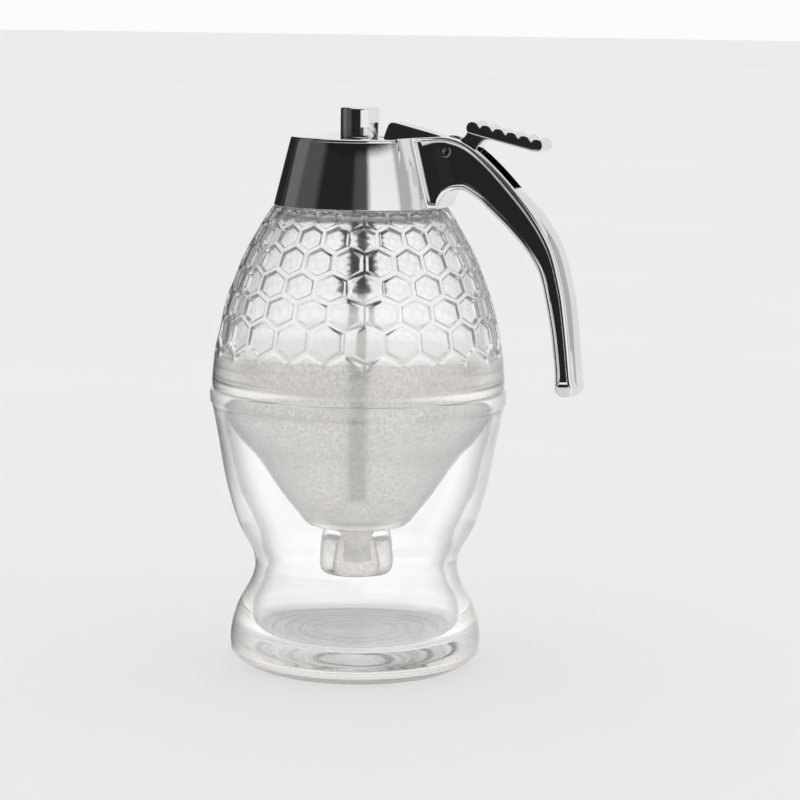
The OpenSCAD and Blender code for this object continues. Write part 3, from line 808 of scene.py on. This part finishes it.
CAP_R, CAP_Z = 22.4, 119.8
CAP_TOP_R, CAP_TOP_Z = 18.1, 137.3
CAP_TILT = math.atan((CAP_R - CAP_TOP_R) / (CAP_TOP_Z - CAP_Z))
CAP_ROOF = 134.9        # underside of the cap's top
SLOT_HALF = 3.3
LINER_TOP_Z = 131.6
LINER_R = 17.5
KNOB_HOLE = 5.65


def cone_r(z):
    return CAP_R - (z - CAP_Z) * math.tan(CAP_TILT)


cap = turn_outline(
    "cap",
    [[20.4, 120.6], [20.4, 120.0], [20.6, CAP_Z], [22.2, CAP_Z], [22.36, 119.88], [22.36, 120.05]]
    + [[cone_r(z), z] for z in (120.25, 122, 125, 128, 131, 134, 136.7)]
    + [[18.16, 137.0], [18.08, 137.18], [17.92, 137.28], [17.7, CAP_TOP_Z]]
    + [[12, CAP_TOP_Z], [6.0, CAP_TOP_Z], [5.75, 137.2], [KNOB_HOLE, 137.0], [KNOB_HOLE, CAP_ROOF],
       [15.2, CAP_ROOF], [16, 134.1], [16, LINER_TOP_Z + 0.1], [LINER_R - 0.05, LINER_TOP_Z + 0.1],
       [LINER_R, 124.2], [19.6, 124.2], [20.4, 120.6]],
    160,
)
slot = [[4, LINER_TOP_Z + 0.1], [22.3, LINER_TOP_Z + 0.1], [22.3, 141], [4, 141]]
cut_away(cap, slab("slot", slot, SLOT_HALF))
finish_piece(cap, "cap_cone", cap_chrome, "cap_shell", "cap", 35)

# ---------------------------------------------------------------- handle

spine = smooth(
    [[8, 137.1], [12, 137.4], [19.5, 137.9], [24.6, 138.0], [29.6, 136.4], [35.2, 132.2], [41.5, 125.9],
     [48, 118], [52.5, 110], [55.2, 100.6], [56.3, 94], [57.3, 86], [58.2, 78], [58.7, 76], [58.4, 74.4],
     [57.4, 73.3], [56.3, 73]]
)
arm_inner = smooth(
    [[22.9, 119.9], [24.6, 123.7], [28.4, 124.9], [32.4, 122.8], [35.6, 119.9], [40.6, 115.2],
     [45.1, 110.3], [48.5, 105.2], [50.1, 100], [52.1, 90.4], [53.4, 80.4], [53.6, 75.2],
     [54.5, 73.6], [55.6, 73.05]]
)
# Half width of the arm's flank and of its panel's floor, by their distance from the cap
flank = smooth(
    [[-6.5, 15.6], [-3.6, 11.6], [-2.3, 9.4], [-1.2, 8.3], [2, 7.2], [6, 6.2], [11, 5.3], [17, 4.6],
     [26, 4.5], [60, 4.5]], 8
)
panel_floor = [[-1.5, 6.9], [2, 6.35], [6, 5.4], [11, 4.5], [17, 3.8], [26, 3.7], [60, 3.7]]
# Points along the arm's back, with the height of the round crown on it
crown_line = [[41.5, 125.9, 0.05], [44.9, 122, 0.95], [48, 118, 1.5], [52.5, 110, 1.9],
              [55.2, 100.6, 1.9], [56.3, 94, 1.9], [57.3, 86, 1.75], [58.2, 78, 1.7], [58.7, 76, 1.5],
              [58.4, 74.4, 0.8], [57.4, 73.3, 0.1]]
SADDLE_HALF = 43                # degrees that the saddle reaches to each side round the cap
ARM_SLOPE = math.tan(math.radians(SADDLE_HALF - 0.2))
PIVOT, PIN_R = [24.1, 134.4], 1.55


def from_cap(x, z):
    """Distance from the cap's cone, in the frame that leans with it."""
    return (x - CAP_R) * math.cos(CAP_TILT) + (z - CAP_Z) * math.sin(CAP_TILT)


def half_width(x, z):
    return min(between(flank, from_cap(x, z)), x * ARM_SLOPE)


def lengths(line):
    total = [0.0]
    for a, b in zip(line, line[1:]):
        total.append(total[-1] + math.dist(a[:2], b[:2]))
    return total


def point_at(line, length):
    """Point of the line at a length along it, with the line's direction there."""
    total = lengths(line)
    i = 0
    while i < len(line) - 2 and total[i + 1] < length:
        i += 1
    a, b = line[i], line[i + 1]
    t = (length - total[i]) / (total[i + 1] - total[i])
    before, after = line[max(i - 1, 0)], line[min(i + 2, len(line) - 1)]
    lean = Vector((after[0] - before[0], after[1] - before[1])).normalized()
    return [a[0] + t * (b[0] - a[0]), a[1] + t * (b[1] - a[1])], lean


def length_near(line, point):
    return min(zip(line, lengths(line)), key=lambda row: math.dist(row[0][:2], point))[1]


def length_from_cap(line, d):
    """Length along the line to where it is d from the cap."""
    total = lengths(line)
    for i in range(len(line) - 1):
        a, b = from_cap(*line[i][:2]), from_cap(*line[i + 1][:2])
        if a <= d < b:
            return total[i] + (d - a) / (b - a) * (total[i + 1] - total[i])
    return total[0]


crown_rise = [[length_near(spine, row[:2]), row[2]] for row in crown_line]

# Where the sections through the handle lie: [outer point, outer direction, inner point, inner direction]
stations = []
SADDLE_Z = 119.9
SADDLE_DS = (-6.4, -5.6, -4.9, -4.3, -3.8, -3.3, -2.9, -2.5, -2.1, -1.8, -1.55, -1.4, -1.3, -1.2, -1.1,
             -1.0, -0.85, -0.5, 0.0, 0.4)
ARM_DS = (0.8, 1.2, 1.7, 2.2, 2.7, 3.2, 3.8, 4.5, 5.2, 6.0)
for d in SADDLE_DS:
    outer, lean = point_at(spine, length_from_cap(spine, d))
    inner = [outer[0] + (outer[1] - SADDLE_Z) * math.tan(CAP_TILT), SADDLE_Z]
    stations.append([outer, lean, inner, Vector((1, 0))])
for d in ARM_DS:
    both = [point_at(line, length_from_cap(line, d)) for line in (spine, arm_inner)]
    stations.append([*both[0], *both[1]])
# Past those, pairs of an outer and an inner point, and the number of sections up to the next pair
pairs = [((25.3, 137.9), (28.4, 124.9), 12), ((41.5, 125.9), (35.6, 119.9), 9),
         ((46.5, 120), (40.6, 115.2), 6), ((50.3, 114.3), (45.1, 110.3), 6), ((53.6, 107), (48.5, 105.2), 5),
         ((55.2, 100.6), (50.1, 100), 6), ((56.8, 90.8), (52.1, 90.4), 6), ((57.95, 80.6), (53.4, 80.4), 4),
         ((58.25, 77.6), (53.55, 77.6), 3), ((58.45, 77), (53.5, 76.5), 2), ((58.7, 76), (53.6, 75.9), 2),
         ((58.65, 75.1), (53.75, 74.9), 2), ((58.4, 74.4), (54.1, 74.2), 2), ((57.9, 73.7), (54.6, 73.5), 2),
         ((57.4, 73.3), (55.1, 73.2), 1)]
for (*start, steps), (*end, _) in zip(pairs, pairs[1:]):
    ends = [(line, length_near(line, a), length_near(line, b))
            for line, a, b in zip((spine, arm_inner), start, end)]
    for k in range(steps):
        both = [point_at(line, a + k / steps * (b - a)) for line, a, b in ends]
        stations.append([*both[0], *both[1]])


def soft_step(value, low, high):
    t = min(1.0, max(0.0, (value - low) / (high - low)))
    return t * t * (3 - 2 * t)


LEAST_SQUARE = 0.42     # a section that lies flatter than this to a line gets no wider rim there
LOW_RIM = 1.0           # rim between the panel and the arm's inside
INNER_EDGE = 0.9        # radius of the edge there
# How the arm narrows to its tip: height, and the share of its width there
ARM_TIP = [[73.1, 0.62], [73.5, 0.78], [74.3, 0.9], [75.2, 0.96], [76.2, 0.99], [77, 1.0]]
# Steps of the panel's side walls: how far along the wall, and the share of the panel's depth there
LOW_WALL = ((-0.1, 0.0), (0.04, 0.05), (0.13, 0.2), (0.3, 0.78), (0.38, 0.94), (0.5, 1.0))
TOP_WALL = ((0.75, 1.0), (0.6, 0.94), (0.5, 0.78), (0.18, 0.2), (0.06, 0.05), (-0.1, 0.0))


def handle_section(station):
    """Closed line round the handle at a station, from the middle of its inside round to the back."""
    outer, lean, inner, inner_lean = station
    across = Vector((outer[0] - inner[0], outer[1] - inner[1]))
    depth = across.length
    across.normalize()
    square_in = max(LEAST_SQUARE, abs(across.cross(inner_lean)))
    square_out = max(LEAST_SQUARE, abs(across.cross(lean)))
    low_rim = LOW_RIM / square_in
    top_rim = (0.55 + 0.65 * min(1.0, max(0.0, (outer[0] - 24) / 14))) / square_out
    slope = 0.7 - 0.15 * soft_step(outer[0], 40, 53)
    # Height on the arm's lower end. Sections before it lie past the end of the tip's table
    end_z = outer[1] if outer[0] > 50 else 999
    width = between(ARM_TIP, end_z)
    open_end = soft_step(end_z, 76.7, 77.5)
    rise = between(crown_rise, length_near(spine, outer))
    back_edge = 0.25 + 0.75 * soft_step(outer[0], 24, 38)
    quarter = [math.pi / 2 * k / 6 for k in range(7)]

    def spot(s, sunk, lift=0.0):
        """Point at s along the section, sunk by a share of the panel's depth, raised along the back."""
        x, z = inner[0] + across[0] * s, inner[1] + across[1] * s
        d = from_cap(x, z)
        w = half_width(x, z)
        panel = soft_step(d, -1.38, -1.02) * open_end
        y = w * width - sunk * (w - between(panel_floor, d)) * panel
        return [x - lean[1] * lift, y, z + lean[0] * lift]

    half = []
    for share in (0.0, 0.3, 0.6, 0.85):
        x, y, z = spot(0, 0)
        half.append([x, share * (y - INNER_EDGE), z])
    for a in quarter:
        x, y, z = spot(INNER_EDGE * (1 - math.cos(a)) / square_in, 0)
        half.append([x, y - INNER_EDGE * (1 - math.sin(a)), z])
    half += [spot(low_rim + run * slope, sunk) for run, sunk in LOW_WALL]
    low, high = low_rim + 0.5 * slope, depth - top_rim - 0.75 * slope
    half += [spot(low + (high - low) * k / 8, 1.0) for k in range(1, 8)]
    half += [spot(depth - top_rim - run * slope, sunk) for run, sunk in TOP_WALL]
    for a in quarter:
        x, y, z = spot(depth - back_edge * (1 - math.sin(a)) / square_out, 0)
        half.append([x, y - back_edge * (1 - math.cos(a)), z])
    for share in (0.85, 0.7, 0.5, 0.25, 0.0):
        x, y, z = spot(depth, 0, rise * (1 - share * share))
        half.append([x, share * (y - back_edge), z])
    return half + [[x, -y, z] for x, y, z in half[1:-1]][::-1]


handle = draw_out("handle_arm", [handle_section(station) for station in stations])
inside_of_cap = turn_outline(
    "inside_of_cap",
    [[0, 118], [cone_r(118) - 0.25, 118], [cone_r(137.1) - 0.25, 137.1], [LINER_R, 137.15], [LINER_R, 147],
     [0, 147]], 160,
)


def lever_slot():
    side = [[0, 130], [20, 130], [27, 129.6], [34, 127.6], [40, 124.6], [42.1, 125.2], [45, 150], [0, 150]]
    return slab("lever_slot", side, SLOT_HALF)


def pin_hole(r):
    """A round bar of 48 sides on the pivot."""
    return slab("pin_hole", arc(PIVOT, r, 0, 352.5, 47), 12)


cut_away(handle, inside_of_cap)
cut_away(handle, lever_slot())
cut_away(handle, pin_hole(PIN_R))


def cap_band(name, low, high, inner, outer, half_angle):
    """Band that lies on the cap's cone, evenly to both sides of the lever's slot."""
    corners = [[cone_r(z) + d, z] for z, d in ((low, inner), (low, outer), (high, outer), (high, inner))]
    a = math.radians(half_angle)
    piece = flat_face(name, [(r * math.cos(a), -r * math.sin(a), z) for r, z in corners])
    edit(piece, "FACE")
    bpy.ops.mesh.spin(steps=40, angle=2 * a, center=(0, 0, 0), axis=(0, 0, 1))
    leave()
    tidy_mesh(piece)
    return piece


saddle = cap_band("saddle", low=SADDLE_Z + 0.05, high=136.6, inner=-0.25, outer=0.9, half_angle=SADDLE_HALF)
round_edges(saddle, 0.12)
cut_away(saddle, lever_slot())
handle = join([handle, saddle], "handle_casting")
finish_piece(handle, "handle_casting", handle_chrome, "handle", "cap", 35)
# Painted shade: the faces where the saddle's two upright edges meet the cap are coloured dark, standing in
# for the shadow in that crease
JOINT_REACH = 0.6               # degrees to both sides of those edges
handle.data.materials.append(joint_painted_shade)
for face in handle.data.polygons:
    around = math.atan2(face.center.y, face.center.x)
    tangent = Vector((-math.sin(around), math.cos(around), 0))
    near = abs(abs(math.degrees(around)) - SADDLE_HALF) < JOINT_REACH
    if near and abs(face.normal.dot(tangent)) > 0.8:
        face.material_index = 1

# ---------------------------------------------------------------- lever and its pin

RIDGES = [[30.9 + 3.36 * k, 140.45 - 0.79 * k] for k in range(6)]
RIDGE_R = 1.65
PIN_PLAY = 0.03
WEB_HALF, PAD_HALF = 3.0, 4.5


def lever_side():
    """Side outline of the lever's web, from the toe over the hump, the neck and round the hub."""
    neck_front = smooth([[24.6, 137.3], [27.4, 137.5], [28.6, 138.4], [29.3, 139.6]], 4)
    neck_back = smooth([[38.2, 137.4], [34.7, 137.6], [32.5, 136.5], [31.1, 134.3], [28.2, 132.4]], 4)
    return (
        arc([0.9, 139.7], 1.1, 200, 20, 12)
        + smooth([[2.9, 137.9], [3.9, 137.15], [6.5, 137.0], [7.2, 138.3]], 3)
        + smooth([[8.0, 140.4], [8.5, 141.0], [9.4, 141.3], [11, 141.0], [16, 139.8], [21.6, 138.4],
                  [24.6, 137.4]], 3)[:-1]
        + neck_front
        + [[36, 138.6]]
        + neck_back
        + arc(PIVOT, 3.3, -35, -100, 5)
        + [[21.4, 131.9], [16, 132.8], [9, 133.8], [2.95, 134.8], [2.6, 136.2], [0.7, 137.5]]
    )


def pad_side():
    """Side outline of the thumb pad: ridges above, a flat plate below."""
    line = arc(RIDGES[0], RIDGE_R, 230, 27, 14)
    for ridge in RIDGES[1:-1]:
        line += arc(ridge, RIDGE_R, 150, 27, 9)
    line += arc(RIDGES[-1], RIDGE_R, 150, -80, 15)
    return line + [[46.6, 135.1], [36.2, 137.55], [31.4, 138.75]]


web = slab("web", lever_side(), WEB_HALF)
round_edges(web, 0.25)
pad = slab("pad", pad_side(), PAD_HALF)
round_edges(pad, 0.22, 3, 50)
cut_away(web, pin_hole(PIN_R + PIN_PLAY))
lever = join([web, pad], "rocker")
finish_piece(lever, "rocker", lever_chrome, "lever", "lever", 35)

# Half of the pin's outline [radius, length], with a round dimple in its end
pin_end = [[0.001, 5.35], [0.35, 5.42], [0.62, 5.62], [0.78, 5.85], [1.0, 5.9], [1.3, 5.88], [1.47, 5.78],
           [PIN_R, 5.6]]
pin = turn_outline("pin", [[r, -y] for r, y in pin_end] + pin_end[::-1], 40)
edit(pin)
bpy.ops.transform.rotate(value=math.pi / 2, orient_axis="X", center_override=(0, 0, 0))
bpy.ops.transform.translate(value=(PIVOT[0] * MM, 0, PIVOT[1] * MM))
leave()
tidy_mesh(pin)
finish_piece(pin, "cross_pin", pin_steel, "lever_pin", "cap", 35)

# ---------------------------------------------------------------- knob, rod and spring

KNOB_R = 5.45
knob = turn_outline(
    "knob",
    [[2.0, 132], [5.0, 132], [5.3, 132.1], [KNOB_R, 132.4], [KNOB_R, 144.2]]
    + arc([KNOB_R - 0.5, 144.3], 0.5, 0, 90, 5)
    + [[2.5, 144.8], [0, 144.8], [0, 136], [2.0, 135.9], [2.0, 132]],
    96,
)
cut_away(knob, slab("flat", [[3.3, 131], [7, 131], [7, 146], [3.3, 146]], 8))
cut_away(knob, slab("window", [[2.6, 133.4], [7, 133.4], [7, 140.9], [-0.7, 140.9], [-0.7, 136], [2.6, 136]],
                    3.25))
round_edges(knob, 0.12, 2, 40)
finish_piece(knob, "pull_knob", knob_chrome, "rod_knob", "rod", 35)

SPRING_R, WIRE_R = 3.65, 0.45
SPRING_LOW, SPRING_HIGH, TURNS = 98.45, 127.55, 11
CLOSE_PITCH = 0.94      # rise of the one end turn at each end, where the wire lies close
OPEN_PITCH = (SPRING_HIGH - SPRING_LOW - 2 * CLOSE_PITCH) / (TURNS - 2)
TURN_STEPS, WIRE_SIDES = 24, 10


def coil_height(turn):
    """Height of the wire's middle after so many turns."""
    if turn < 1:
        return SPRING_LOW + CLOSE_PITCH * turn
    if turn > TURNS - 1:
        return SPRING_HIGH - CLOSE_PITCH * (TURNS - turn)
    return SPRING_LOW + CLOSE_PITCH + OPEN_PITCH * (turn - 1)


coil_sections = []
for i in range(TURNS * TURN_STEPS + 1):
    around = 2 * math.pi * i / TURN_STEPS
    z = coil_height(i / TURN_STEPS)
    wire = arc([SPRING_R, z], WIRE_R, 0, 360, WIRE_SIDES)[:-1]
    coil_sections.append([(r * math.cos(around), r * math.sin(around), h) for r, h in wire])
coil = draw_out("coil", coil_sections)
finish_piece(coil, "return_spring", spring_painted_reflection, "spring", "cap", 60)
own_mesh(coil)

# ---------------------------------------------------------------- parts shown as they come

plain_parts = {
    "neck_gasket": gasket_rubber,
    "thread_liner": liner_plastic,
    "handle_screws": pin_steel,
    "rod": rod_steel_and_shade,
    "rod_bush": bush_plastic,
    "rod_seal": seal_rubber,
    "spring_washer": pin_steel,
    "spring_seat": pin_steel,
    "retaining_clip": spring_painted_reflection,
    "stopper": stopper_rubber,
    "stopper_nut": liner_plastic,
}
for node, material in plain_parts.items():
    mesh = nodes[node].data
    mesh.materials.clear()
    mesh.materials.append(material)

# ---------------------------------------------------------------- floor, light and camera


def make_floor():
    deselect_all()
    bpy.ops.mesh.primitive_circle_add(vertices=128, radius=14.0, fill_type="NGON", location=(0, 0, 0))
    floor = bpy.context.object
    floor.name = "floor"
    material, tree, shader = start_finish("Pale floor")
    grain = place_group(tree, handling, Scale=3.0)["Smear"]
    # Through the glass the floor is seen as white
    through_glass = add_node(tree, "LightPath").outputs["Is Transmission Ray"]
    fill(tree, shader, {
        "Base Color": blend(tree, grain, grey(0.9), grey(0.88)),
        "Roughness": 0.9,
        "Specular IOR Level": 0.1,
        "Emission Color": blend(tree, through_glass, BLACK, grey(0.17)),
        "Emission Strength": 1.0,
    })
    floor.data.materials.append(material)
    floor.visible_glossy = False


# What polished metal mirrors round the horizon: degrees clockwise from +X, so that 90 is the camera's
# side, and brightness. A white card stands behind and to the right, and dark cloths in front and left
BEHIND = [(-180, 0.16), (-172, 0.16), (-165, 0.05), (-150, 0.02), (-124, 0.02), (-116, 0.85),
          (-6, 0.85), (-2, 0.5), (17, 0.5), (22, 1.0)]
FRONT_HIGH = [(57, 1.0), (64, 0.085), (78, 0.08), (84, 0.02)]
FRONT_LOW = [(75, 1.0), (80, 0.02)]
LEFT = [(126, 0.02), (136, 0.09), (160, 0.09), (166, 0.16), (180, 0.16)]
BEHIND_GLASS = 109.0    # direction of the middle of the white that is seen through the glass


def make_world():
    """Even light on matt things. Metal and glass see a studio: white behind and to the right, dark in
    front and to the left, a pale table below and a bright ceiling."""
    world = bpy.data.worlds.new("Studio")
    bpy.context.scene.world = world
    world.use_nodes = True
    tree = world.node_tree

    def times(a, b):
        return calc(tree, "MULTIPLY", a, b)

    def most(a, b):
        return calc(tree, "MAXIMUM", a, b)

    def step(value, low, high):
        return spread(tree, value, low, high, soft=True)

    def below(value, low, high):
        return calc(tree, "SUBTRACT", 1.0, step(value, low, high))

    def choose(factor, a, b):
        values = {"Factor": factor, "A": a, "B": b}
        return add_node(tree, "Mix", values, data_type="FLOAT").outputs["Result"]

    place = add_node(tree, "TexCoord").outputs["Generated"]
    x, y, z = add_node(tree, "SeparateXYZ", {0: place}).outputs
    flat = calc(tree, "SQRT", calc(tree, "ADD", times(x, x), times(y, y)))
    azimuth = times(calc(tree, "ARCTAN2", times(y, -1.0), x), 180 / math.pi)
    height = times(calc(tree, "ARCTAN2", z, flat), 180 / math.pi)

    def round_about(stops):
        """Brightness that changes with the direction round the horizon."""
        turn = calc(tree, "MULTIPLY_ADD", azimuth, 1 / 360, 0.5)
        ramp = add_node(tree, "ValToRGB", {"Fac": turn})
        stones = ramp.color_ramp.elements
        for stone, (degrees, level) in zip(stones, (stops[0], stops[-1])):
            stone.position = degrees / 360 + 0.5
            stone.color = (level, level, level, 1)
        for degrees, level in stops[1:-1]:
            stone = stones.new(degrees / 360 + 0.5)
            stone.color = (level, level, level, 1)
        return ramp.outputs["Color"]

    lower, upper = [round_about(BEHIND + front + LEFT) for front in (FRONT_LOW, FRONT_HIGH)]
    wall = choose(step(height, 1.0, 9.0), lower, upper)
    back_card = times(step(azimuth, -124.0, -116.0), below(azimuth, 0.0, 8.0))
    wall = times(wall, most(below(height, 30.0, 38.0), back_card))
    ceiling = step(height, 48.0, 58.0)
    table = times(below(height, -20.0, -12.0), 0.75)
    mirrored = most(most(most(wall, ceiling), table), 0.015)

    # What is seen through the glass: white straight behind and on the table, the cards to the sides
    off_middle = calc(tree, "ABSOLUTE", calc(tree, "ADD", azimuth, BEHIND_GLASS))
    off_middle = calc(tree, "MINIMUM", off_middle, calc(tree, "SUBTRACT", 360.0, off_middle))
    behind = times(below(off_middle, 60.0, 90.0), below(height, 16.0, 40.0))
    behind = most(behind, below(height, -45.0, -25.0))
    through = most(behind, most(times(mirrored, 0.85), 0.05))

    path = add_node(tree, "LightPath").outputs
    plain = choose(path["Is Camera Ray"], 0.95, 0.97)
    level = choose(path["Is Glossy Ray"], plain, mirrored)
    level = choose(path["Is Transmission Ray"], level, through)
    level = choose(calc(tree, "GREATER_THAN", path["Diffuse Depth"], 0.5), level, plain)
    tint = add_node(tree, "CombineColor", {"Red": level, "Green": level, "Blue": level}).outputs["Color"]
    fill(tree, tree.nodes["Background"], {"Color": tint, "Strength": 1.0})


CAMERA_PLACE = (242.05, -709.95, 172.0)
CAMERA_TARGET = (10.29, 3.34, 69.29)
CAMERA_ROLL = 0.836     # degrees
LENS, SENSOR = 131.25, 36.0


def make_camera():
    place = Vector(CAMERA_PLACE) * MM
    target = Vector(CAMERA_TARGET) * MM
    data = bpy.data.cameras.new("camera")
    data.lens = LENS
    data.sensor_width = SENSOR
    data.clip_start = 0.01
    data.clip_end = 60.0
    camera = bpy.data.objects.new("camera", data)
    bpy.context.scene.collection.objects.link(camera)
    roll = Matrix.Rotation(math.radians(CAMERA_ROLL), 3, "Z")
    turn = (target - place).to_track_quat("-Z", "Y").to_matrix() @ roll
    camera.matrix_world = Matrix.Translation(place) @ turn.to_4x4()
    bpy.context.scene.camera = camera


make_floor()
make_world()
make_camera()
bpy.context.scene.view_settings.view_transform = "Standard"
